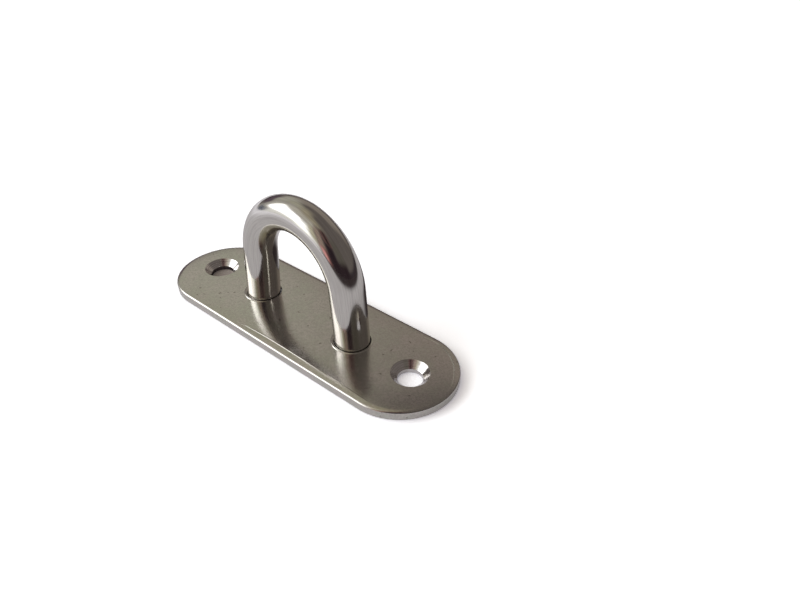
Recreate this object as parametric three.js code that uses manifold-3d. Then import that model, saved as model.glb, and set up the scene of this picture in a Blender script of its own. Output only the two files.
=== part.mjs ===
// Pad eye: a round rod bent into a bow, its two ends let into holes in a flat oblong plate and
// plug-welded there from below. Two countersunk holes take the screws that hold it down.
// Millimetres, +Z up. The origin is the centre of the plate's underside, and +X runs along the plate.

import * as THREE from "three";
import { mergeVertices } from "three/addons/utils/BufferGeometryUtils.js";
import Module from "manifold-3d";

const wasm = await Module();
wasm.setup();

// The plate, cut from strip with full-round ends. Its top edge rolls down in a quarter ellipse.
const PLATE_LENGTH = 82.5;
const PLATE_WIDTH = 26.2;
const PLATE_THICKNESS = 2.5;
const ROLL_WIDTH = 2.6;
const ROLL_DEPTH = 1;

// The two screw holes, with 90 degree countersinks
const SCREW_HOLE_SPACING = 62.5;
const SCREW_HOLE_DIAMETER = 5.5;
const COUNTERSINK_DIAMETER = 8.5;

// The bow: one arc between two straight legs that spread a little towards the plate
const ROD_DIAMETER = 8;
const BEND_RADIUS = 13.8;
const BEND_CENTRE_HEIGHT = 14.6;
const LEG_SPACING_AT_PLATE = 29.5;
const ROD_END_HEIGHT = 1.6;

// The rod holes open out below into a cone, which the weld fills
const ROD_HOLE_DIAMETER = 8.7;
const WELD_CONE_DIAMETER = 11.2;
const WELD_RADIAL_GAP = 0.45;
const WELD_UNDERSIDE_HEIGHT = 0.05;
const WELD_TOP_HEIGHT = 0.95;

// How finely the round shapes are faceted
const END_ARC_DIVISIONS = 18;
const ROLL_DIVISIONS = 5;
const HOLE_SIDES = 32;
const ROD_SIDES = 24;
const ROD_STEPS = 48;

// How far a cutter runs past the face that it goes through
const OVERCUT = 1;

const plateSteel = { color: 0x8f8a80, roughness: 0.35, metalness: 1 };
const rodSteel = { color: 0xb3aea8, roughness: 0.15, metalness: 1 };
const weldSteel = { color: 0x857f78, roughness: 0.5, metalness: 1 };

// A closed geometry as a solid that can be cut.
function solid(geometry) {
  const bare = geometry.clone();
  bare.deleteAttribute("normal");
  bare.deleteAttribute("uv");
  const merged = mergeVertices(bare);
  return new wasm.Manifold(
    new wasm.Mesh({
      numProp: 3,
      vertProperties: new Float32Array(merged.getAttribute("position").array),
      triVerts: new Uint32Array(merged.getIndex().array),
    }),
  );
}

// A cut solid as a geometry again.
function geometryOf(manifold) {
  const { vertProperties, triVerts } = manifold.getMesh();
  const geometry = new THREE.BufferGeometry();
  geometry.setAttribute("position", new THREE.BufferAttribute(vertProperties, 3));
  geometry.setIndex(new THREE.BufferAttribute(triVerts, 1));
  geometry.computeVertexNormals();
  return geometry;
}

function namedMesh(name, geometry, finish) {
  const mesh = new THREE.Mesh(geometry, new THREE.MeshStandardMaterial(finish));
  mesh.name = name;
  return mesh;
}

// A solid of revolution about the vertical line at x, from [radius, height] pairs that start and end
// on the axis, lowest first.
function turned(profile, x) {
  const points = profile.map(([radius, height]) => new THREE.Vector2(radius, height));
  const geometry = new THREE.LatheGeometry(points, HOLE_SIDES);
  geometry.rotateX(Math.PI / 2);
  geometry.translate(x, 0, 0);
  return geometry;
}

// The bow's centreline in the XZ plane, from the left rod end over the top to the right one.
class BowLine extends THREE.Curve {
  constructor() {
    super();
    const out = LEG_SPACING_AT_PLATE / 2;
    const down = BEND_CENTRE_HEIGHT - PLATE_THICKNESS;
    const slant = Math.hypot(out, down);
    this.lean = Math.atan2(out, down) - Math.asin(BEND_RADIUS / slant);
    const tangentHeight = BEND_CENTRE_HEIGHT + BEND_RADIUS * Math.sin(this.lean);
    this.legLength = (tangentHeight - ROD_END_HEIGHT) / Math.cos(this.lean);
    this.arcLength = BEND_RADIUS * (Math.PI - 2 * this.lean);
  }

  // How far from the middle a leg's centreline is at a height below the bend.
  legOffset(height) {
    const fromPlate = height - PLATE_THICKNESS;
    return LEG_SPACING_AT_PLATE / 2 - fromPlate * Math.tan(this.lean);
  }

  getPoint(t, target = new THREE.Vector3()) {
    const total = 2 * this.legLength + this.arcLength;
    const fromTop = (t - 0.5) * total;
    const side = Math.sign(fromTop);
    const along = Math.abs(fromTop);
    const angle = Math.min(along, this.arcLength / 2) / BEND_RADIUS;
    const pastBend = Math.max(along - this.arcLength / 2, 0);
    const x = BEND_RADIUS * Math.sin(angle) + pastBend * Math.sin(this.lean);
    const z = BEND_CENTRE_HEIGHT + BEND_RADIUS * Math.cos(angle) - pastBend * Math.cos(this.lean);
    return target.set(side * x, 0, z);
  }
}

const bowLine = new BowLine();
const ROD_HOLE_OFFSET = bowLine.legOffset((PLATE_THICKNESS + ROD_END_HEIGHT) / 2);

// The plate's outline, with both ends full half circles.
function plateOutline() {
  const radius = PLATE_WIDTH / 2;
  const centre = PLATE_LENGTH / 2 - radius;
  const outline = new THREE.Shape();
  outline.absarc(centre, 0, radius, -Math.PI / 2, Math.PI / 2, false);
  outline.absarc(-centre, 0, radius, Math.PI / 2, (3 * Math.PI) / 2, false);
  return outline;
}

// A blank with both edges rolled, deep enough for its lower edge to be cut away.
function rolledBlank() {
  const geometry = new THREE.ExtrudeGeometry(plateOutline(), {
    curveSegments: END_ARC_DIVISIONS,
    depth: PLATE_THICKNESS,
    bevelThickness: ROLL_DEPTH,
    bevelSize: ROLL_WIDTH,
    bevelOffset: -ROLL_WIDTH,
    bevelSegments: ROLL_DIVISIONS,
  });
  geometry.translate(0, 0, -ROLL_DEPTH);
  return solid(geometry);
}

// What lies below the underside.
function belowUnderside() {
  const depth = PLATE_THICKNESS;
  const geometry = new THREE.BoxGeometry(PLATE_LENGTH + 2 * OVERCUT, PLATE_WIDTH + 2 * OVERCUT, depth);
  geometry.translate(0, 0, -depth / 2);
  return solid(geometry);
}

function screwHole(x) {
  const throat = SCREW_HOLE_DIAMETER / 2;
  const mouth = COUNTERSINK_DIAMETER / 2;
  const throatTop = PLATE_THICKNESS - (mouth - throat);
  return solid(
    turned(
      [
        [0, -OVERCUT],
        [throat, -OVERCUT],
        [throat, throatTop],
        [mouth + OVERCUT, PLATE_THICKNESS + OVERCUT],
        [0, PLATE_THICKNESS + OVERCUT],
      ],
      x,
    ),
  );
}

function rodHole(x) {
  const bore = ROD_HOLE_DIAMETER / 2;
  const cone = WELD_CONE_DIAMETER / 2;
  return solid(
    turned(
      [
        [0, -OVERCUT],
        [cone + OVERCUT, -OVERCUT],
        [bore, cone - bore],
        [bore, PLATE_THICKNESS + OVERCUT],
        [0, PLATE_THICKNESS + OVERCUT],
      ],
      x,
    ),
  );
}

function basePlate() {
  let plate = rolledBlank().subtract(belowUnderside());
  for (const side of [-1, 1]) {
    plate = plate.subtract(screwHole((side * SCREW_HOLE_SPACING) / 2));
    plate = plate.subtract(rodHole(side * ROD_HOLE_OFFSET));
  }
  return geometryOf(plate);
}

function eyeBow() {
  const section = new THREE.Shape();
  section.absarc(0, 0, ROD_DIAMETER / 2, 0, 2 * Math.PI, false);
  return new THREE.ExtrudeGeometry(section, {
    curveSegments: ROD_SIDES / 2,
    steps: ROD_STEPS,
    extrudePath: bowLine,
  });
}

// The weld metal under one rod end, ground flush with the plate.
function weld(x) {
  const cone = WELD_CONE_DIAMETER / 2 - WELD_RADIAL_GAP;
  return turned(
    [
      [0, WELD_UNDERSIDE_HEIGHT],
      [cone - WELD_UNDERSIDE_HEIGHT, WELD_UNDERSIDE_HEIGHT],
      [cone - WELD_TOP_HEIGHT, WELD_TOP_HEIGHT],
      [0, WELD_TOP_HEIGHT],
    ],
    x,
  );
}

const padEye = new THREE.Group();
padEye.add(
  namedMesh("base_plate", basePlate(), plateSteel),
  namedMesh("eye_bow", eyeBow(), rodSteel),
  namedMesh("weld_left", weld(-ROD_HOLE_OFFSET), weldSteel),
  namedMesh("weld_right", weld(ROD_HOLE_OFFSET), weldSteel),
);

export default padEye;
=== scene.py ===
"""A stainless steel pad eye on a pale floor: its visible surfaces, steel, light and camera.

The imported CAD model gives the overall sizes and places. Each of its nodes is replaced here by a finer skin: a
crowned plate with a sloping border and turned countersinks, a swept rod that is a little flatter in its bend,
and ground welds below. Metres, +Z up, +X along the plate.
"""

import math

import bpy
import numpy as np
from mathutils import Matrix, Vector, noise
from mathutils.geometry import delaunay_2d_cdt


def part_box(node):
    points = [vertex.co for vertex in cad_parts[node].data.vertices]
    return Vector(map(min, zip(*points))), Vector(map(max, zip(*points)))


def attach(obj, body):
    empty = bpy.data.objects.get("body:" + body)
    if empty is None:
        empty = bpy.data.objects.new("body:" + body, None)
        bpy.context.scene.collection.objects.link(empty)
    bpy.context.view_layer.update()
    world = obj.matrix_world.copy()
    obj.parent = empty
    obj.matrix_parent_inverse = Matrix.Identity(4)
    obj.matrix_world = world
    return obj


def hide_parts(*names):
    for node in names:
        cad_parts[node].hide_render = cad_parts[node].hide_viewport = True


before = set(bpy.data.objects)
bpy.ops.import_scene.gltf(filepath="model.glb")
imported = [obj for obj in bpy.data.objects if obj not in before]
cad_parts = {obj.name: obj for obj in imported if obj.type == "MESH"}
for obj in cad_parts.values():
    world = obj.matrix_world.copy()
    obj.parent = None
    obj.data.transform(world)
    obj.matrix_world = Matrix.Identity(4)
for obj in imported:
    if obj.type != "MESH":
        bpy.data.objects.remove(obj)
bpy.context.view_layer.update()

MM = 0.001

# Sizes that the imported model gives
plate_low, plate_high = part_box("base_plate")
bow_low, bow_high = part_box("eye_bow")
weld_low, weld_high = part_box("weld_right")
PLATE_LENGTH = plate_high.x - plate_low.x
PLATE_WIDTH = plate_high.y - plate_low.y
PLATE_TOP = plate_high.z
ROD_RADIUS = (bow_high.y - bow_low.y) / 2
WELD_RADIUS = (weld_high.y - weld_low.y) / 2

# Driving dimensions of the design that no box gives
SCREW_HOLE_SPACING = 62.5 * MM
SCREW_HOLE_RADIUS = 2.75 * MM
COUNTERSINK_RADIUS = 4.25 * MM
ROD_HOLE_RADIUS = 4.16 * MM
WELD_CONE_RADIUS = 5.6 * MM
BEND_RADIUS = 13.8 * MM
LEG_SPACING_AT_PLATE = 29.5 * MM
BEND_CENTRE_HEIGHT = bow_high.z - ROD_RADIUS - BEND_RADIUS

# How far each rod hole's centre is from the rod's, along X and Y: -1 is the left hole and 1 the right one
ROD_HOLE_SHIFTS = {-1: (0.11 * MM, 0.08 * MM), 1: (-0.11 * MM, 0.03 * MM)}

# How the plate's top and its edges are finished. The top falls away gently towards its outline, bends down
# more sharply into a sloping border, and turns down at the very edge.
CROWN_WIDTH = 10.0 * MM
CROWN_DROP = 0.4 * MM
EDGE_ROUND = 0.42 * MM
LOWER_EDGE = 0.15 * MM

# The fine burr along the border's inner side, and how much steeper it falls outwards than it rises
BURR_WIDTH = 0.30 * MM
BURR_FALL = 1.4

# The border round the plate. Each row has how far round it is, the border's width in mm, its slopes where it
# starts and where it ends in degrees, and the slope of the burr. How far round runs from 0 to 1 along the
# near side from the left, to 2 round the right end, to 3 along the far side and to 4 round the left end,
# where it starts again. Between rows the values change evenly, and they are averaged over BORDER_BLEND to
# each side. The rows were set by comparing the edge's reflections with the photo's.
ALL_ROUND = 4
BORDER_BLEND = 0.07
BORDER_SAMPLES = 9
BORDER = (
    (0.00, 0.75, 4, 14, 8),
    (0.12, 0.75, 4, 13, 4),
    (0.28, 0.80, 4, 13, 8),
    (0.45, 1.60, 4, 13, 36),
    (0.68, 1.55, 4, 13, 36),
    (0.86, 1.30, 4, 13, 16),
    (1.00, 1.15, 4, 13, 5),
    (1.20, 0.65, 5, 13, 0),
    (1.55, 0.65, 5, 14, 0),
    (1.64, 1.25, 6, 15, 30),
    (1.78, 1.45, 7, 16, 44),
    (1.95, 1.40, 7, 16, 44),
    (2.10, 1.30, 7, 16, 8),
    (3.00, 1.30, 7, 16, 0),
    (3.25, 1.25, 8, 17, 0),
    (3.50, 1.20, 11, 19, 0),
    (3.68, 1.00, 9, 18, 4),
    (3.88, 0.80, 4, 14, 10),
)

# The holes' edges: the rod hole's rounded rim, the lip round it, and the broken edges of the screw hole. The
# lip is highest in one direction, and fades round to nothing in the opposite one.
ROD_RIM = 0.18 * MM
ROD_LIP_WIDTH = 0.55 * MM
ROD_LIP_HEIGHT = 0.15 * MM
ROD_LIP_HIGHEST_AT = math.radians(-110)
ROD_LIP_FADE = 1.5
COUNTERSINK_BREAK = 0.12 * MM
THROAT_BREAK = 0.08 * MM

# The rod's rounded ends, how much flatter it is in the bend, and how long it takes to become so
ROD_END_ROUND = 0.5 * MM
BEND_FLATTENING = 0.012
FLATTENING_LENGTH = 6 * MM

# How uneven the welds are, as a share of their radius, how many lumps there are, and how far apart the two
# welds are in the noise, so that they differ
WELD_UNEVENNESS = 0.02
WELD_LUMPS = 2
WELD_NOISE_APART = 5

# How finely the skins are divided
END_STEPS = 110
STRAIGHT_STEPS = 60
HOLE_STEPS = 144
ROUND_STEPS = 12
BREAK_STEPS = 5
LIP_STEPS = 12
BORDER_STEPS = 18
FACE_SPACING = 1.0 * MM
ROD_SIDES = 112
ROD_STEPS = 320
ROD_END_STEPS = 5
WELD_FACE_STEPS = 8
WELD_WALL_STEPS = 5
WELD_CROWN_STEPS = 6


class Skin:
    """A mesh in the making: its points, the surface's direction at each, and the faces between them."""

    def __init__(self):
        self.points = []
        self.normals = []
        self.faces = []

    def add(self, points, normals):
        first = len(self.points)
        self.points.extend(points)
        self.normals.extend(normals)
        return list(range(first, len(self.points)))

    def join(self, ring, next_ring):
        """Quads between two closed rings of as many points."""
        for i, start in enumerate(ring):
            after = (i + 1) % len(ring)
            self.faces.append((start, ring[after], next_ring[after], next_ring[i]))

    def cap(self, ring, middle, direction, forwards):
        """Closes a ring with triangles round its middle, which follow the ring's order or the other way."""
        hub = self.add([middle], [direction])[0]
        for i, start in enumerate(ring):
            after = ring[(i + 1) % len(ring)]
            self.faces.append((hub, start, after) if forwards else (hub, after, start))

    def make(self, name):
        mesh = bpy.data.meshes.new(name)
        mesh.from_pydata([tuple(p) for p in self.points], [], self.faces)
        mesh.shade_smooth()
        mesh.normals_split_custom_set_from_vertices([tuple(n) for n in self.normals])
        piece = bpy.data.objects.new(name, mesh)
        bpy.context.scene.collection.objects.link(piece)
        return piece


def rounding(width, depth, steps):
    """A quarter ellipse from level to upright, as (across, down, level part, upright part) at each step.

    Across and down are from where it leaves the level face. The last two are the surface's direction: its
    part along the level, and its part along the upright. Steps turn the direction evenly.
    """
    out = []
    for i in range(steps + 1):
        turn = math.pi / 2 * i / steps
        angle = math.atan2(width * math.sin(turn), depth * math.cos(turn))
        out.append((width * math.sin(angle), depth * (1 - math.cos(angle)), math.sin(turn), math.cos(turn)))
    return out


# ---- the plate ------------------------------------------------------------------------------------------


def outline_stations():
    """Round the plate's outline: the point that each station is measured from, and its outward direction."""
    centre = (PLATE_LENGTH - PLATE_WIDTH) / 2
    stations = []
    for side in (1, -1):
        for i in range(END_STEPS):
            angle = math.pi * (i / END_STEPS - 0.5) + (0 if side > 0 else math.pi)
            stations.append((side * centre, 0.0, math.cos(angle), math.sin(angle)))
        for i in range(STRAIGHT_STEPS):
            stations.append((side * centre * (1 - 2 * i / STRAIGHT_STEPS), 0.0, 0.0, float(side)))
    return stations


def how_far_round(x, outward_x, outward_y):
    """Where on the outline a station is, as the border's table counts it."""
    if abs(outward_x) < 1e-9:
        along = x / (PLATE_LENGTH - PLATE_WIDTH)
        return 0.5 + along if outward_y < 0 else 2.5 - along
    if outward_x > 0:
        return 1.5 + math.asin(outward_y) / math.pi
    return 3.5 - math.asin(outward_y) / math.pi


def border_at(x, outward_x, outward_y):
    """The border's width, its two slopes and its burr's slope at a station."""
    blend = np.linspace(-BORDER_BLEND, BORDER_BLEND, BORDER_SAMPLES)
    places = how_far_round(x, outward_x, outward_y) + blend
    rounds, *columns = zip(*BORDER)
    means = [np.interp(places, rounds, column, period=ALL_ROUND).mean() for column in columns]
    width, start, end, burr = means
    return width * MM, math.radians(start), math.radians(end), math.radians(burr)


def closed_rings(skin, stations, profiles):
    """One closed ring for each step of the profiles. There is one profile for each station.

    A station is the point that radii are measured from, and an outward direction. A step is a radius, a
    height, and the surface's outward and upward parts there.
    """
    rings = []
    for steps in zip(*profiles):
        points = []
        normals = []
        for (x, y, dx, dy), (radius, height, outward, upward) in zip(stations, steps):
            points.append((x + radius * dx, y + radius * dy, height))
            normals.append((outward * dx, outward * dy, upward))
        rings.append(skin.add(points, normals))
    for ring, next_ring in zip(rings, rings[1:]):
        skin.join(ring, next_ring)
    return rings[0], rings[-1]


def burr_and_border(width, start, end, burr):
    """How far in from the outline each step is, and its slope, from the burr to the rounded edge."""
    fall = max(burr * BURR_FALL, start)
    # Each is a share of the burr's width, from 1 at its inner side to 0 at the border, and the slope there
    ridge = ((1.0, 0.0), (0.88, -burr), (0.66, -burr), (0.5, 0.0), (0.25, fall), (0.0, start))
    steps = [(width + BURR_WIDTH * across, slope) for across, slope in ridge]
    for i in range(1, BORDER_STEPS + 1):
        along = i / BORDER_STEPS
        steps.append((width + (EDGE_ROUND - width) * along, start + (end - start) * along))
    return steps


def edge_profile(width, start, end, burr):
    """From the lower edge up to the burr's inner side, as steps of a closed ring."""
    steps = burr_and_border(width, start, end, burr)
    profile = []
    height = PLATE_TOP
    last_inset, last_slope = steps[0]
    for inset, slope in steps:
        height -= (last_inset - inset) * math.tan((last_slope + slope) / 2)
        profile.append((inset, height, math.sin(slope), math.cos(slope)))
        last_inset, last_slope = inset, slope
    radius = EDGE_ROUND / (1 - math.sin(end))
    for i in range(1, ROUND_STEPS + 1):
        slope = end + (math.pi / 2 - end) * i / ROUND_STEPS
        fallen = radius * (math.cos(end) - math.cos(slope))
        profile.append((radius * (1 - math.sin(slope)), height - fallen, math.sin(slope), math.cos(slope)))
    for across, down, level, upright in reversed(rounding(LOWER_EDGE, LOWER_EDGE, BREAK_STEPS)):
        profile.append((LOWER_EDGE - across, down, level, -upright))
    return [(PLATE_WIDTH / 2 - inset, *rest) for inset, *rest in reversed(profile)]


def outer_edge(skin):
    """The plate's side, its rounded edge, its border and its burr. Returns the bottom and the top ring."""
    stations = outline_stations()
    profiles = [edge_profile(*border_at(x, dx, dy)) for x, y, dx, dy in stations]
    return closed_rings(skin, stations, profiles)


def hole_angles():
    return [2 * math.pi * i / HOLE_STEPS for i in range(HOLE_STEPS)]


def hole_wall(skin, centre, profile_at):
    """A hole whose profile may differ with the angle. Returns its end rings, top first."""
    angles = hole_angles()
    stations = [(*centre, math.cos(angle), math.sin(angle)) for angle in angles]
    return closed_rings(skin, stations, [profile_at(angle) for angle in angles])


def screw_hole_profile(angle):
    """A right-angled countersink with broken edges, the same at every angle."""
    profile = []
    reach = COUNTERSINK_BREAK
    for i in range(BREAK_STEPS + 1):
        turn = math.pi / 4 * i / BREAK_STEPS
        radius = COUNTERSINK_RADIUS + reach * (math.tan(math.pi / 8) - math.sin(turn))
        height = PLATE_TOP - reach * (1 - math.cos(turn))
        profile.append((radius, height, -math.sin(turn), math.cos(turn)))
    throat_top = PLATE_TOP - (COUNTERSINK_RADIUS - SCREW_HOLE_RADIUS)
    reach = THROAT_BREAK
    for i in range(BREAK_STEPS + 1):
        turn = math.pi / 4 * (1 + i / BREAK_STEPS)
        radius = SCREW_HOLE_RADIUS + reach * (1 - math.sin(turn))
        height = throat_top + reach * (math.cos(turn) - math.tan(math.pi / 8))
        profile.append((radius, height, -math.sin(turn), math.cos(turn)))
    for across, down, level, upright in reversed(rounding(THROAT_BREAK, THROAT_BREAK, BREAK_STEPS)):
        profile.append((SCREW_HOLE_RADIUS + THROAT_BREAK - across, down, -level, -upright))
    return profile


def rod_hole_profile(angle):
    """A bore with a low lip at its top, higher on the near side, and a cone for the weld."""
    facing = (1 + math.cos(angle - ROD_LIP_HIGHEST_AT)) / 2
    lip = ROD_LIP_HEIGHT * facing**ROD_LIP_FADE
    profile = []
    for i in range(LIP_STEPS):
        turn = 2 * math.pi * i / LIP_STEPS
        slope = math.atan(math.pi * lip / ROD_LIP_WIDTH * math.sin(turn))
        radius = ROD_HOLE_RADIUS + ROD_RIM + ROD_LIP_WIDTH * (1 - i / LIP_STEPS)
        profile.append((radius, PLATE_TOP + lip / 2 * (1 - math.cos(turn)), math.sin(slope), math.cos(slope)))
    for across, down, level, upright in rounding(ROD_RIM, ROD_RIM, BREAK_STEPS * 2):
        profile.append((ROD_HOLE_RADIUS + ROD_RIM - across, PLATE_TOP - down, -level, upright))
    half = math.sqrt(0.5)
    cone_top = WELD_CONE_RADIUS - ROD_HOLE_RADIUS
    profile.append((ROD_HOLE_RADIUS, cone_top + THROAT_BREAK, -1.0, 0.0))
    profile.append((ROD_HOLE_RADIUS + THROAT_BREAK, cone_top - THROAT_BREAK, -half, -half))
    profile.append((WELD_CONE_RADIUS - THROAT_BREAK, THROAT_BREAK, -half, -half))
    profile.append((WELD_CONE_RADIUS + THROAT_BREAK, 0.0, 0.0, -1.0))
    return profile


def rod_hole_offset():
    """How far from the middle the rod's centreline is, halfway down its hole."""
    return LEG_SPACING_AT_PLATE / 2 + PLATE_TOP / 2 * math.tan(BowLine().lean)


def rod_hole_centre(side):
    """The rod lies against the hole's wall on one side, as the seam in the photo is open on the other."""
    shift_x, shift_y = ROD_HOLE_SHIFTS[side]
    return side * rod_hole_offset() + shift_x, shift_y


def inside_outline(x, y):
    """How far a point is inside the plate's outline, and the outline's direction there."""
    over = max(abs(x) - (PLATE_LENGTH - PLATE_WIDTH) / 2, 0.0)
    reach = math.hypot(over, y)
    outward = (math.copysign(over, x) / reach, y / reach) if reach else (0.0, 0.0)
    return PLATE_WIDTH / 2 - reach, outward


def level_face(skin, outer, outer_inset, holes, height, upward):
    """Triangles between the outer ring and the holes' rings, at one height.

    Each hole is its centre, its radius and its ring.
    """

    def depth_inside(x, y):
        """How far inside the face a point is."""
        inset, outward = inside_outline(x, y)
        from_holes = [math.hypot(x - centre[0], y - centre[1]) - radius for centre, radius, ring in holes]
        return min(inset - outer_inset(x, *outward), *from_holes)

    loops = [outer] + [ring for centre, radius, ring in holes]
    fixed = [i for loop in loops for i in loop]
    edges = []
    first = 0
    for loop in loops:
        edges += [(first + i, first + (i + 1) % len(loop)) for i in range(len(loop))]
        first += len(loop)
    # Points inside, in rows that make triangles of equal sides, but for those close to an edge
    inner = []
    row_step = FACE_SPACING * math.sqrt(0.75)
    rows = int(PLATE_WIDTH / row_step)
    columns = int(PLATE_LENGTH / FACE_SPACING)
    for row in range(-rows // 2, rows // 2 + 1):
        for column in range(-columns // 2, columns // 2 + 1):
            x = (column + 0.5 * (row % 2)) * FACE_SPACING
            y = row * row_step
            if depth_inside(x, y) > FACE_SPACING / 3:
                inner.append((x, y, height))
    ids = fixed + skin.add(inner, [(0.0, 0.0, upward)] * len(inner))
    flat = [Vector(skin.points[i][:2]) / MM for i in ids]
    corners, _, triangles, origins, _, _ = delaunay_2d_cdt(flat, edges, [], 0, 1e-6, True)
    for triangle in triangles:
        middle = sum((corners[i] for i in triangle), Vector((0, 0))) / 3 * MM
        if depth_inside(*middle) > 0:
            face = [ids[origins[i][0]] for i in triangle]
            skin.faces.append(face if upward > 0 else face[::-1])


def crown_share(x, y):
    """The crowned height's share of the flat one, and how it changes along X and along Y."""
    inset, outward = inside_outline(x, y)
    near = max(1 - inset / CROWN_WIDTH, 0.0)
    change = -3 * CROWN_DROP / PLATE_TOP * near**2 / CROWN_WIDTH
    return 1 - CROWN_DROP / PLATE_TOP * near**3, change * outward[0], change * outward[1]


def crown(skin):
    """Lowers the top gently towards its outline, and turns each point's direction to suit."""
    for i, (x, y, z) in enumerate(skin.points):
        share, along_x, along_y = crown_share(x, y)
        nx, ny, nz = skin.normals[i]
        turned = Vector((nx * share - nz * z * along_x, ny * share - nz * z * along_y, nz)).normalized()
        skin.points[i] = (x, y, z * share)
        skin.normals[i] = tuple(turned)


def make_plate():
    """The base plate with its screw holes, its rod holes and its crowned top."""
    skin = Skin()
    bottom, top = outer_edge(skin)
    top_holes = []
    bottom_holes = []
    for side in (-1, 1):
        screw_hole_centre = (side * SCREW_HOLE_SPACING / 2, 0.0)
        for centre, profile_at in (
            (screw_hole_centre, screw_hole_profile),
            (rod_hole_centre(side), rod_hole_profile),
        ):
            mouth, foot = hole_wall(skin, centre, profile_at)
            top_holes.append((centre, profile_at(0)[0][0], mouth))
            bottom_holes.append((centre, profile_at(0)[-1][0], foot))
    level_face(skin, top, lambda *station: border_at(*station)[0] + BURR_WIDTH, top_holes, PLATE_TOP, 1.0)
    level_face(skin, bottom, lambda *station: LOWER_EDGE, bottom_holes, 0.0, -1.0)
    crown(skin)
    return skin.make("plate_skin")


# ---- the bow --------------------------------------------------------------------------------------------


class BowLine:
    """The bow's centreline: one arc between two straight legs that spread towards the plate."""

    def __init__(self):
        out = LEG_SPACING_AT_PLATE / 2
        down = BEND_CENTRE_HEIGHT - PLATE_TOP
        self.lean = math.atan2(out, down) - math.asin(BEND_RADIUS / math.hypot(out, down))
        end_height = bow_low.z + ROD_RADIUS * math.sin(self.lean)
        tangent_height = BEND_CENTRE_HEIGHT + BEND_RADIUS * math.sin(self.lean)
        self.leg = (tangent_height - end_height) / math.cos(self.lean)
        self.half_arc = BEND_RADIUS * (math.pi / 2 - self.lean)

    def at(self, along):
        """The place and the outward direction, in X and Z, at a distance from the top of the bow."""
        angle = np.clip(along, -self.half_arc, self.half_arc) / BEND_RADIUS
        past = np.maximum(np.abs(along) - self.half_arc, 0)
        x = BEND_RADIUS * np.sin(angle) + np.sign(along) * past * math.sin(self.lean)
        z = BEND_CENTRE_HEIGHT + BEND_RADIUS * np.cos(angle) - past * math.cos(self.lean)
        return x, z, np.sin(angle), np.cos(angle)


def rod_sections(line):
    """How far each section of the rod is from the bow's top, and how much a rounded end narrows it there."""
    half = line.leg + line.half_arc
    body = half - ROD_END_ROUND
    turn = np.linspace(0, math.pi / 2, ROD_END_STEPS + 1)
    first_end = -half + ROD_END_ROUND * (1 - np.cos(turn))
    last_end = half - ROD_END_ROUND * (1 - np.cos(turn[::-1]))
    along = np.concatenate([first_end[:-1], np.linspace(-body, body, ROD_STEPS + 1), last_end[1:]])
    past_body = np.maximum(np.abs(along) - body, 0)
    narrowed = ROD_END_ROUND - np.sqrt(np.maximum(ROD_END_ROUND**2 - past_body**2, 0))
    return along, narrowed


def rod_points(line, along, narrowed, around):
    """The rod's surface as rows of points, one row for each section."""
    x, z, out_x, out_z = line.at(along)
    bent = np.clip((line.half_arc - np.abs(along)) / FLATTENING_LENGTH + 0.5, 0, 1)
    flatten = 1 - BEND_FLATTENING * bent * bent * (3 - 2 * bent)
    radius = (ROD_RADIUS - narrowed)[:, None]
    radial = radius * np.cos(around)[None, :] * flatten[:, None]
    sideways = radius * np.sin(around)[None, :]
    across = x[:, None] + radial * out_x[:, None]
    upward = z[:, None] + radial * out_z[:, None]
    return np.stack([across, sideways, upward], axis=-1)


def outward_normals(points):
    """The surface's direction at each point of rows that close on themselves."""
    along_step = np.gradient(points, axis=0)
    around_step = np.roll(points, -1, axis=1) - np.roll(points, 1, axis=1)
    normals = np.cross(along_step, around_step)
    return normals / np.linalg.norm(normals, axis=-1, keepdims=True)


def store_straightened(piece, along, around):
    """Keeps where each point would lie on a straight rod, so that the polishing lines follow the bend."""
    across = np.broadcast_to(np.cos(around) * ROD_RADIUS, (len(along), len(around)))
    sideways = np.broadcast_to(np.sin(around) * ROD_RADIUS, across.shape)
    lengthwise = np.broadcast_to(along[:, None], across.shape)
    straight = np.stack([across, sideways, lengthwise], axis=-1).reshape(-1, 3)
    straight = np.concatenate([straight, [[0, 0, along[0]], [0, 0, along[-1]]]])
    store = piece.data.attributes.new("straightened", "FLOAT_VECTOR", "POINT")
    store.data.foreach_set("vector", straight.astype(np.float32).ravel())


def make_bow():
    """The rod, swept along its centreline, a little flatter in the bend, with rounded ends."""
    line = BowLine()
    along, narrowed = rod_sections(line)
    around = np.linspace(0, 2 * math.pi, ROD_SIDES, endpoint=False)
    points = rod_points(line, along, narrowed, around)
    normals = outward_normals(points)
    skin = Skin()
    rings = [skin.add(points[i].tolist(), normals[i].tolist()) for i in range(len(along))]
    for ring, next_ring in zip(rings, rings[1:]):
        skin.join(next_ring, ring)
    x, z, out_x, out_z = line.at(along)
    for end, flip in ((0, -1), (-1, 1)):
        direction = (flip * out_z[end], 0.0, -flip * out_x[end])
        skin.cap(rings[end], (x[end], 0.0, z[end]), direction, flip < 0)
    piece = skin.make("bow_skin")
    store_straightened(piece, along, around)
    return piece


# ---- the welds ------------------------------------------------------------------------------------------


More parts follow.
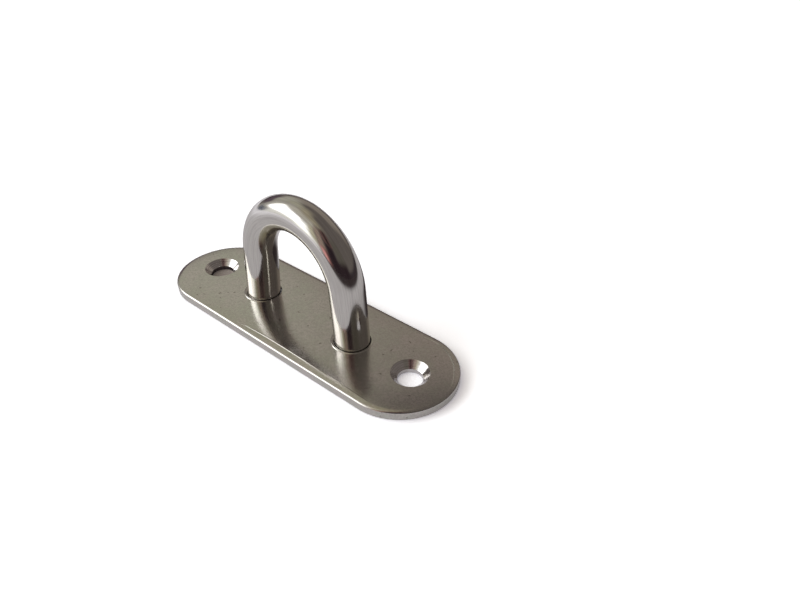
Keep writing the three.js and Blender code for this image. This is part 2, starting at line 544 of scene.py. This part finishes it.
def weld_sections():
    """The weld's rings, from the middle of its foot up to the middle of its crown.

    Each is a radius, a height, and the surface's outward and upward parts. The wall leans in by as much as
    it rises.
    """
    foot = weld_low.z
    crown_height = weld_high.z
    crown_radius = WELD_RADIUS - (crown_height - foot)
    heights = np.linspace(foot, crown_height, WELD_WALL_STEPS + 1)[1:]
    below = [(WELD_RADIUS * k / WELD_FACE_STEPS, foot, 0.0, -1.0) for k in range(1, WELD_FACE_STEPS + 1)]
    wall = [(WELD_RADIUS - (height - foot), height, 0.7, 0.7) for height in heights]
    inwards = range(WELD_CROWN_STEPS - 1, 0, -1)
    above = [(crown_radius * k / WELD_CROWN_STEPS, crown_height, 0.0, 1.0) for k in inwards]
    return below + wall + above


def make_weld(side):
    """The weld metal in the cone under one rod end, slightly uneven round its wall and flat at both faces."""
    x = side * rod_hole_offset()
    skin = Skin()
    rings = []
    for radius, height, outward, upward in weld_sections():
        points = []
        directions = []
        for angle in hole_angles():
            across = math.cos(angle)
            along = math.sin(angle)
            lump_x = across * WELD_LUMPS + side * WELD_NOISE_APART
            sample = Vector((lump_x, along * WELD_LUMPS, height / MM))
            reach = radius * (1 + WELD_UNEVENNESS * noise.noise(sample))
            points.append((x + reach * across, reach * along, height))
            directions.append((outward * across, outward * along, upward))
        rings.append(skin.add(points, directions))
    for ring, next_ring in zip(rings, rings[1:]):
        skin.join(ring, next_ring)
    skin.cap(rings[0], (x, 0.0, weld_low.z), (0.0, 0.0, -1.0), False)
    skin.cap(rings[-1], (x, 0.0, weld_high.z), (0.0, 0.0, 1.0), True)
    return skin.make("weld_skin_left" if side < 0 else "weld_skin_right")


# ---- node trees -----------------------------------------------------------------------------------------


class Nodes:
    """Short calls that add nodes to one tree. An input may be given as a socket or as a value."""

    def __init__(self, tree):
        self.tree = tree
        tree.nodes.clear()

    def feed(self, socket, value):
        if isinstance(value, bpy.types.NodeSocket):
            self.tree.links.new(value, socket)
        else:
            socket.default_value = value

    def add(self, kind, inputs=(), **settings):
        node = self.tree.nodes.new(kind)
        for name, value in settings.items():
            setattr(node, name, value)
        for key, value in dict(inputs).items():
            self.feed(node.inputs[key], value)
        return node

    def math(self, operation, *values):
        node = self.add("ShaderNodeMath", enumerate(values), operation=operation)
        return node.outputs[0]

    def smooth(self, value, low, high):
        """0 where the value is at low, 1 where it is at high, eased between."""
        inputs = {"Value": value, "From Min": low, "From Max": high}
        node = self.add("ShaderNodeMapRange", inputs, interpolation_type="SMOOTHERSTEP")
        return node.outputs[0]

    def span(self, value, low, high):
        """The value from 0 to 1, spread from low to high."""
        node = self.add("ShaderNodeMapRange", {"Value": value, "To Min": low, "To Max": high})
        return node.outputs[0]

    def mix(self, share, first, second):
        node = self.add("ShaderNodeMix", {0: share, 6: first, 7: second}, data_type="RGBA")
        return node.outputs[2]

    def noise(self, vector, size, detail=2.0, roughness=0.5):
        """Noise with features of about this size, in metres."""
        inputs = {"Vector": vector, "Scale": 1 / size, "Detail": detail, "Roughness": roughness}
        return self.add("ShaderNodeTexNoise", inputs).outputs["Fac"]

    def stretch(self, vector, scale, turn=0.0):
        """The same vector, turned about Z and then scaled along each axis."""
        turned = self.add("ShaderNodeMapping", {"Vector": vector, "Rotation": (0.0, 0.0, turn)})
        return self.add("ShaderNodeMapping", {"Vector": turned.outputs[0], "Scale": scale}).outputs[0]


# ---- steel ----------------------------------------------------------------------------------------------

# The steel's colours. The plate's tone wanders from greenish to reddish, and its grain and specks are darker.
# A countersink is brighter, with darker rings from the cutter.
PLATE_GREENISH = (0.605, 0.61, 0.55, 1)
PLATE_REDDISH = (0.655, 0.615, 0.595, 1)
PLATE_GRAIN = (0.55, 0.53, 0.50, 1)
PLATE_SPECKS = (0.33, 0.31, 0.28, 1)
COUNTERSINK_STEEL = (0.76, 0.74, 0.73, 1)
COUNTERSINK_RINGS = (0.50, 0.47, 0.45, 1)
ROD_DULL = (0.61, 0.60, 0.56, 1)
ROD_BRIGHT = (0.66, 0.64, 0.62, 1)
ROD_LINES = (0.55, 0.53, 0.51, 1)
WELD_DULL = (0.50, 0.47, 0.43, 1)
WELD_BRIGHT = (0.58, 0.55, 0.50, 1)

# The lowest and highest roughness of each, and the countersinks' one
PLATE_ROUGHNESS = (0.13, 0.24)
COUNTERSINK_ROUGHNESS = 0.15
ROD_ROUGHNESS = (0.08, 0.16)
WELD_ROUGHNESS = (0.28, 0.42)

# How high the bumps are
MICRON = 0.001 * MM
PLATE_WAVES = 12 * MICRON
PLATE_PITS = 5.5 * MICRON
CUTTER_MARKS = 5 * MICRON
ROD_WAVES = 26 * MICRON
ROD_SCRATCHES = 4 * MICRON
WELD_SCRATCHES = 5 * MICRON


def new_material(name):
    material = bpy.data.materials.new(name)
    material.use_nodes = True
    return material, Nodes(material.node_tree)


def finish_steel(nodes, colour, roughness, normal):
    inputs = {"Base Color": colour, "Roughness": roughness, "Normal": normal}
    shader = nodes.add("ShaderNodeBsdfPrincipled", inputs)
    shader.inputs["Metallic"].default_value = 1.0
    nodes.add("ShaderNodeOutputMaterial", {"Surface": shader.outputs[0]})


def bumps(nodes, height, depth, normal=None):
    inputs = {"Height": height, "Distance": depth}
    if normal is not None:
        inputs["Normal"] = normal
    return nodes.add("ShaderNodeBump", inputs).outputs[0]


def turned_rings(nodes, place):
    """Inside each countersink: fine rings left by the cutter, 0 to 1 by height, and where they are."""
    axes = nodes.add("ShaderNodeSeparateXYZ", {0: place}).outputs
    from_centre = nodes.math("SUBTRACT", nodes.math("ABSOLUTE", axes["X"]), SCREW_HOLE_SPACING / 2)
    flat = nodes.add("ShaderNodeCombineXYZ", {0: from_centre, 1: axes["Y"]}).outputs[0]
    radius = nodes.add("ShaderNodeVectorMath", {0: flat}, operation="LENGTH").outputs["Value"]
    inside = nodes.math("LESS_THAN", radius, COUNTERSINK_RADIUS)
    drift = nodes.math("MULTIPLY", axes["X"], 0.02)
    line = nodes.add("ShaderNodeCombineXYZ", {0: radius, 1: drift}).outputs[0]
    return nodes.noise(line, 0.12 * MM, 3.0, 0.7), inside


def plate_colour(nodes, place, grain, rings, inside):
    """The plate's wandering tone with its grain and specks, and the brighter, ringed countersinks."""
    tone = nodes.noise(place, 4 * MM, 4.0, 0.6)
    specks = nodes.smooth(nodes.noise(place, 1.0 * MM, 1.0, 0.3), 0.735, 0.79)
    colour = nodes.mix(nodes.smooth(tone, 0.35, 0.65), PLATE_GREENISH, PLATE_REDDISH)
    colour = nodes.mix(nodes.smooth(grain, 0.62, 0.36), colour, PLATE_GRAIN)
    colour = nodes.mix(specks, colour, PLATE_SPECKS)
    colour = nodes.mix(inside, colour, COUNTERSINK_STEEL)
    ring_share = nodes.math("MULTIPLY", inside, nodes.smooth(rings, 0.55, 0.35))
    return nodes.mix(ring_share, colour, COUNTERSINK_RINGS)


def plate_material():
    """Satin steel with a fine grain, a few specks and turned countersinks."""
    material, nodes = new_material("plate_satin_steel")
    place = nodes.add("ShaderNodeTexCoord").outputs["Object"]
    grain = nodes.noise(place, 0.45 * MM, 4.0, 0.65)
    rings, inside = turned_rings(nodes, place)
    colour = plate_colour(nodes, place, grain, rings, inside)
    satin = nodes.span(nodes.noise(place, 1.2 * MM, 3.0), *PLATE_ROUGHNESS)
    roughness = nodes.add("ShaderNodeMix", {0: inside, 2: satin, 3: COUNTERSINK_ROUGHNESS}).outputs[0]
    waves = bumps(nodes, nodes.noise(place, 5 * MM, 2.0), PLATE_WAVES)
    pitted = bumps(nodes, grain, PLATE_PITS, waves)
    normal = bumps(nodes, nodes.math("MULTIPLY", inside, rings), CUTTER_MARKS, pitted)
    finish_steel(nodes, colour, roughness, normal)
    return material


def rod_material():
    """Polished steel with faint lines and waves that run along the rod and follow its bend."""
    material, nodes = new_material("rod_polished_steel")
    place = nodes.add("ShaderNodeAttribute", attribute_name="straightened").outputs["Vector"]
    streaks = nodes.noise(nodes.stretch(place, (1, 1, 0.05)), 0.5 * MM, 3.0)
    fine = nodes.noise(nodes.stretch(place, (1, 1, 0.03)), 0.25 * MM, 3.0, 0.6)
    tone = nodes.noise(place, 4 * MM, 2.0)
    colour = nodes.mix(tone, ROD_DULL, ROD_BRIGHT)
    colour = nodes.mix(nodes.smooth(fine, 0.60, 0.35), colour, ROD_LINES)
    roughness = nodes.span(nodes.noise(place, 2 * MM, 3.0), *ROD_ROUGHNESS)
    waves = bumps(nodes, nodes.noise(nodes.stretch(place, (1, 1, 0.22)), 3 * MM, 1.5), ROD_WAVES)
    normal = bumps(nodes, streaks, ROD_SCRATCHES, waves)
    finish_steel(nodes, colour, roughness, normal)
    return material


def weld_material():
    """Dull steel with grinding scratches that run one way."""
    material, nodes = new_material("ground_weld_steel")
    place = nodes.add("ShaderNodeTexCoord").outputs["Object"]
    grind = nodes.noise(nodes.stretch(place, (0.04, 1, 1), 0.5), 0.15 * MM, 4.0)
    tone = nodes.noise(place, 1.5 * MM, 3.0)
    colour = nodes.mix(tone, WELD_DULL, WELD_BRIGHT)
    roughness = nodes.span(tone, *WELD_ROUGHNESS)
    normal = bumps(nodes, grind, WELD_SCRATCHES)
    finish_steel(nodes, colour, roughness, normal)
    return material


# ---- the studio -----------------------------------------------------------------------------------------

# The soft panels round the object, each laid over those before it. Angles are in degrees: azimuth 0 is
# towards -Y and 90 towards +X. Each has its name, then its middle, its half spread and how softly it ends, in
# azimuth and in elevation, and its colour. The first ones were placed after reading what two programs made
# of the light in the photo. Since then they were added to and set by comparing the steel's reflections with
# the photo's.
ROOM = (0.15, 0.13, 0.12)
PANELS = (
    ("ceiling", (-50, 90, 50), (74, 10, 16), (0.45, 0.40, 0.29)),
    ("far wall", (-160, 34, 16), (28, 17, 10), (0.31, 0.27, 0.235)),
    ("back wall", (-112, 22, 15), (32, 14, 11), (0.49, 0.475, 0.405)),
    ("above the back wall", (-104, 22, 16), (54, 12, 10), (0.45, 0.43, 0.34)),
    ("left wall", (-76, 18, 10), (24, 34, 10), (0.50, 0.48, 0.43)),
    ("dark foot of the walls", (-142, 40, 10), (3, 6, 5), (0.07, 0.05, 0.05)),
    ("dark patch on the back wall", (-105, 15, 6), (14, 7, 5), (0.12, 0.09, 0.11)),
    ("blue patch low on the left", (-72, 16, 6), (3, 5, 4), (0.15, 0.16, 0.20)),
    ("glow above the window", (-38, 42, 14), (56, 10, 9), (0.60, 0.57, 0.49)),
    ("round the window", (-36, 30, 9), (20, 26, 9), (1.00, 0.99, 0.95)),
    ("olive strip", (-7, 5, 4), (30, 18, 8), (0.62, 0.58, 0.42)),
    ("window", (-52, 24, 6), (28, 14, 6), (3.2, 3.2, 3.2)),
    ("window beside it", (-24, 8, 6), (20, 15, 7), (2.1, 2.1, 2.05)),
    ("brown panel", (9, 8, 5), (24, 34, 12), (0.38, 0.29, 0.24)),
    ("red panel", (12, 6, 5), (8, 12, 8), (0.30, 0.13, 0.12)),
    ("bright edge of the red panel", (4, 5, 4), (7, 7, 5), (0.90, 0.42, 0.40)),
    ("dark corner", (34, 15, 7), (16, 28, 12), (0.03, 0.02, 0.025)),
    ("dark side", (68, 18, 10), (30, 24, 12), (0.125, 0.112, 0.095)),
    ("dim red patch", (37, 15, 5), (51, 13, 5), (0.15, 0.085, 0.08)),
    ("dark strip in the red patch", (39, 5, 3), (52, 13, 5), (0.03, 0.02, 0.02)),
    ("foot of the far right", (112, 50, 12), (2, 5, 5), (0.045, 0.035, 0.04)),
    ("foot of the dark side", (52, 38, 12), (6, 13, 8), (0.034, 0.022, 0.026)),
)
WHITE = (1, 1, 1, 1)


def panel_share(nodes, angle, middle, spread, softness):
    """1 where an angle is within a panel's spread of its middle, 0 well outside, eased between."""
    offset = nodes.math("WRAP", nodes.math("SUBTRACT", angle, middle), 180.0, -180.0)
    away = nodes.math("ABSOLUTE", offset)
    return nodes.smooth(away, spread + softness, spread - softness)


def build_world():
    """The room that the steel reflects. The camera itself sees it as white."""
    world = bpy.data.worlds.new("studio")
    bpy.context.scene.world = world
    world.use_nodes = True
    nodes = Nodes(world.node_tree)
    direction = nodes.add("ShaderNodeTexCoord").outputs["Generated"]
    axes = nodes.add("ShaderNodeSeparateXYZ", {0: direction}).outputs
    azimuth = nodes.math("DEGREES", nodes.math("ARCTAN2", axes["X"], nodes.math("MULTIPLY", axes["Y"], -1.0)))
    elevation = nodes.math("DEGREES", nodes.math("ARCSINE", axes["Z"]))
    colour = (*ROOM, 1)
    for name, across, up, panel_colour in PANELS:
        share_across = panel_share(nodes, azimuth, *across)
        share_up = panel_share(nodes, elevation, *up)
        colour = nodes.mix(nodes.math("MULTIPLY", share_across, share_up), colour, (*panel_colour, 1))
        colour.node.label = name
    seen = nodes.add("ShaderNodeLightPath").outputs["Is Camera Ray"]
    colour = nodes.mix(seen, colour, WHITE)
    background = nodes.add("ShaderNodeBackground", {"Color": colour})
    nodes.add("ShaderNodeOutputWorld", {"Surface": background.outputs[0]})


# The floor's size, and how far below the plate's underside it is, so that the two faces don't coincide
FLOOR_SIZE = 3.0
FLOOR_BELOW_PLATE = 0.02 * MM

# The floor's colours: to the steel, in the light and in painted shade, and to the camera, in the open, in a
# painted shadow close under the plate's edge and in painted shade in the left screw hole. The last value is
# how far from the plate the painted shadow under its edge reaches.
FLOOR_COLOUR = (0.78, 0.78, 0.82, 1)
FLOOR_PAINTED_SHADE = (0.10, 0.08, 0.09, 1)
FLOOR_SEEN = (2.3, 2.4, 2.55, 1)
FLOOR_SEEN_IN_PAINTED_EDGE_SHADOW = (0.9, 0.9, 0.98, 1)
FLOOR_SEEN_IN_PAINTED_HOLE_SHADE = (0.55, 0.49, 0.46, 1)
PAINTED_EDGE_SHADOW_REACH = 4 * MM

# How strongly the floor glows, as painted light, though it is no lamp: to the steel, away from the window and
# towards it, and to the camera, in the open and in the painted shade of the left screw hole
FLOOR_GLOW_COLOUR = (0.97, 0.97, 1.06, 1)
FLOOR_GLOW_REFLECTED = (0.23, 0.62)
FLOOR_GLOW_SEEN = (0.25, 0.02)

# Where the floor's painted light brightens towards the window, and where it ends in painted shade on the other
# side
TOWARDS_WINDOW = (-0.85, -0.53, 0.0)
WINDOW_SIDE = (35 * MM, 260 * MM)
TOWARDS_DARK = (0.95, -0.31, 0.0)
DARK_SIDE = (55 * MM, 130 * MM)

# Two round patches of painted shade, each by its middle and the distances from it where it is gone and where it
# is full:
# one, a painted shadow behind the plate that only the steel sees, and one on the ground in the left screw hole
SHADE_MIDDLE = (6 * MM, 26 * MM, 0.0)
SHADE = (32 * MM, 12 * MM)
HOLE_SHADE_MIDDLE = (-31 * MM, 0.0, 0.0)
HOLE_SHADE = (9 * MM, 5 * MM)


def round_patch(nodes, place, middle, gone, full):
    """1 round a middle, 0 far from it, eased between."""
    apart = nodes.add("ShaderNodeVectorMath", {0: place, 1: middle}, operation="DISTANCE")
    return nodes.smooth(apart.outputs["Value"], gone, full)


def rise_along(nodes, place, direction, low, high):
    """0 up to one distance along a direction, 1 from another on, eased between."""
    along = nodes.add("ShaderNodeVectorMath", {0: place, 1: direction}, operation="DOT_PRODUCT")
    return nodes.smooth(along.outputs["Value"], low, high)


def floor_material():
    """White paper, with painted light that brightens it towards the window and painted shade on the other side.

    The camera sees it nearly white, as the photo's ground is, while the steel reflects it dimmer. Painted shade
    darkens it close under the plate and in one screw hole, and a painted shadow lies behind the plate for the
    steel.
    """
    material, nodes = new_material("paper_floor")
    seen = nodes.add("ShaderNodeLightPath").outputs["Is Camera Ray"]
    place = nodes.add("ShaderNodeTexCoord").outputs["Object"]
    # Painted shadow on the floor behind the plate, which only the steel sees
    shade = round_patch(nodes, place, SHADE_MIDDLE, *SHADE)
    # Painted shade on the ground in the left screw hole
    painted_hole_shade = round_patch(nodes, place, HOLE_SHADE_MIDDLE, *HOLE_SHADE)
    # Painted light: the floor's glow to the steel rises towards the window
    lit = rise_along(nodes, place, TOWARDS_WINDOW, *WINDOW_SIDE)
    # Painted shade on the floor away from the window, which only the steel sees
    far_painted_shade = rise_along(nodes, place, TOWARDS_DARK, *DARK_SIDE)
    # All the floor's painted shade and shadow together, as the steel sees it
    dark = nodes.math("MAXIMUM", nodes.math("MAXIMUM", shade, far_painted_shade), painted_hole_shade)
    # Painted shadow close under the plate's edge, which the camera sees, from ambient occlusion
    occlusion = nodes.add("ShaderNodeAmbientOcclusion", {"Distance": PAINTED_EDGE_SHADOW_REACH}, samples=4)
    shown = nodes.mix(occlusion.outputs["AO"], FLOOR_SEEN_IN_PAINTED_EDGE_SHADOW, FLOOR_SEEN)
    # The camera sees painted shade in the left screw hole
    shown = nodes.mix(painted_hole_shade, shown, FLOOR_SEEN_IN_PAINTED_HOLE_SHADE)
    # The steel sees the paper darkened by painted shade; the camera sees the shown colour
    colour = nodes.mix(seen, nodes.mix(dark, FLOOR_COLOUR, FLOOR_PAINTED_SHADE), shown)
    normal = bumps(nodes, nodes.noise(place, 0.4 * MM, 3.0), 4 * MICRON)
    shader = nodes.add("ShaderNodeBsdfPrincipled", {"Base Color": colour, "Normal": normal})
    shader.inputs["Roughness"].default_value = 0.8
    shader.inputs["Specular IOR Level"].default_value = 0.1
    shader.inputs["Emission Color"].default_value = FLOOR_GLOW_COLOUR
    # The floor's glow to the steel is painted light, dimmed where painted shade lies
    glow = nodes.span(lit, *FLOOR_GLOW_REFLECTED)
    reflected = nodes.math("MULTIPLY", glow, nodes.math("SUBTRACT", 1.0, dark))
    # To the camera the floor glows evenly, but less in the painted shade of the left screw hole
    direct = nodes.span(painted_hole_shade, *FLOOR_GLOW_SEEN)
    strength = nodes.add("ShaderNodeMix", {0: seen, 2: reflected, 3: direct}).outputs[0]
    nodes.feed(shader.inputs["Emission Strength"], strength)
    nodes.add("ShaderNodeOutputMaterial", {"Surface": shader.outputs[0]})
    return material


def make_floor():
    """A square of paper just under the plate."""
    mesh = bpy.data.meshes.new("floor")
    half = FLOOR_SIZE / 2
    corners = [(-half, -half, 0), (half, -half, 0), (half, half, 0), (-half, half, 0)]
    mesh.from_pydata(corners, [], [(0, 1, 2, 3)])
    floor = bpy.data.objects.new("floor", mesh)
    floor.location.z = -FLOOR_BELOW_PLATE
    bpy.context.scene.collection.objects.link(floor)
    mesh.materials.append(floor_material())


# The camera: where it stands, which way it looks, how it is tilted, and its lens, from a fit to the outlines
# in the photo
CAMERA_PLACE = (91.39 * MM, -77.61 * MM, 92.04 * MM)
CAMERA_AZIMUTH = math.radians(39.14)
CAMERA_ELEVATION = math.radians(35.85)
CAMERA_ROLL = math.radians(0.65)
CAMERA_LENS = 28.51


def make_camera():
    """The camera, aimed by its azimuth and elevation and then rolled."""
    data = bpy.data.cameras.new("camera")
    camera = bpy.data.objects.new("camera", data)
    bpy.context.scene.collection.objects.link(camera)
    bpy.context.scene.camera = camera
    level = math.cos(CAMERA_ELEVATION)
    back = Vector(
        (math.sin(CAMERA_AZIMUTH) * level, -math.cos(CAMERA_AZIMUTH) * level, math.sin(CAMERA_ELEVATION))
    )
    camera.location = CAMERA_PLACE
    camera.rotation_mode = "QUATERNION"
    aim = (-back).to_track_quat("-Z", "Y")
    camera.rotation_quaternion = aim @ Matrix.Rotation(CAMERA_ROLL, 3, "Z").to_quaternion()
    data.lens = CAMERA_LENS
    data.clip_start = 5 * MM
    data.clip_end = 20.0


# ---- the scene ------------------------------------------------------------------------------------------


def place(piece, material, node, slot):
    """Gives a piece its material, and puts it in the place of a CAD node."""
    piece.data.materials.append(material)
    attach(piece, "root")
    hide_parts(node)


build_world()
make_floor()
make_camera()
bpy.context.scene.view_settings.view_transform = "Standard"

weld_steel = weld_material()
place(make_plate(), plate_material(), "base_plate", "plate_steel")
place(make_bow(), rod_material(), "eye_bow", "rod_steel")
place(make_weld(-1), weld_steel, "weld_left", "weld_steel")
place(make_weld(1), weld_steel, "weld_right", "weld_steel")
